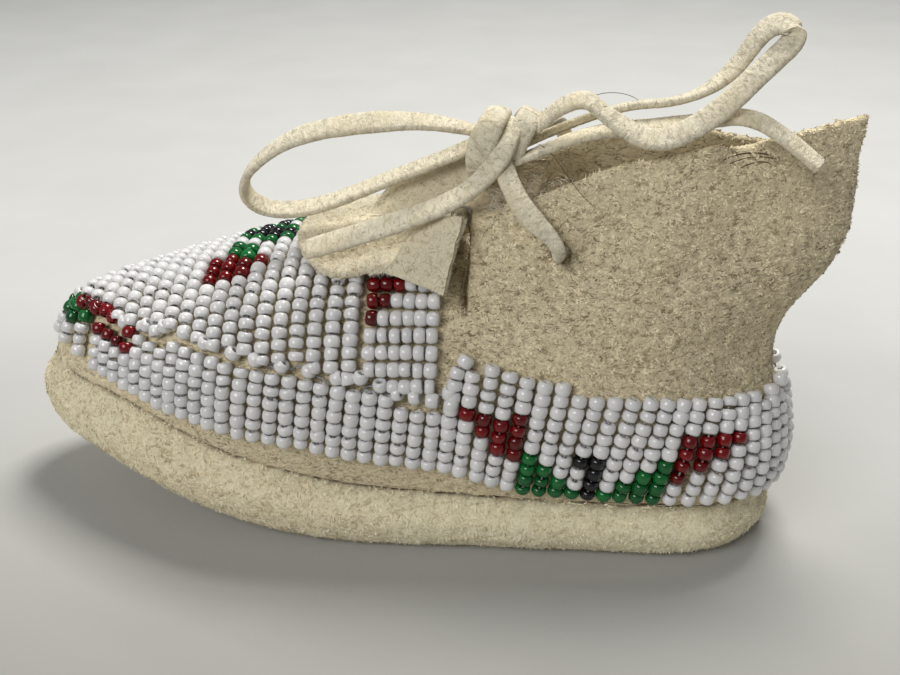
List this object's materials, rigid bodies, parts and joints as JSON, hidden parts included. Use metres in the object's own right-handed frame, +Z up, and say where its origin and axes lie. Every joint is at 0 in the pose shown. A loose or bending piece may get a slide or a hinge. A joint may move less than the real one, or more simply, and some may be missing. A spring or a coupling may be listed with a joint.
{
  "type": "moccasin",
  "caption": "Child's soft-soled ankle moccasin of pale hide with beaded vamp and border band, folded tongue and a bow-tied thong.",
  "frame": {"origin": "middle of the bounding box in plan, on the surface the sole rests on, without the thong", "axes": "toe towards -X, heel towards +X, +Z up, near side in the picture towards -Y"},
  "size_m": [0.1199, 0.0448, 0.074],
  "materials": {
    "sole_hide": "napped, matte",
    "upper_hide": "napped, matte",
    "thong_hide": "napped, matte",
    "sinew": "waxed",
    "bead_thread": "waxed",
    "bead_white": "glossy opaque glass",
    "bead_red": "glossy deep red glass",
    "bead_green": "glossy opaque glass",
    "bead_black": "glossy opaque glass"
  },
  "bodies": {
    "moccasin": {"sole": "sole_hide", "upper": "upper_hide", "sole_seam_thread": "sinew", "back_seam_stitches": "sinew", "lace_knot": "thong_hide", "lace_left_loop": "thong_hide", "lace_right_loop": "thong_hide", "lace_left_tail": "thong_hide", "lace_right_tail": "thong_hide", "lace_near_lead": "thong_hide", "lace_far_lead": "thong_hide", "lace_inner_run": "thong_hide", "band_beads_black": "bead_black", "band_beads_green": "bead_green", "band_beads_red": "bead_red", "band_beads_white": "bead_white", "instep_beads_green": "bead_green", "instep_beads_red": "bead_red", "instep_beads_white": "bead_white", "vamp_beads_black": "bead_black", "vamp_beads_green": "bead_green", "vamp_beads_red": "bead_red", "vamp_beads_white": "bead_white", "band_thread": "bead_thread", "instep_thread": "bead_thread", "vamp_thread": "bead_thread"},
    "tongue_flap": {"tongue": "upper_hide", "tongue_stitches": "sinew"}
  },
  "joints": [
    {"name": "tongue_hinge", "type": "hinge", "parent": "moccasin", "child": "tongue_flap", "pos_m": [0.0076, 0, 0.0478], "axis": [0, 1, 0], "range_deg": [0, 3]}
  ]
}
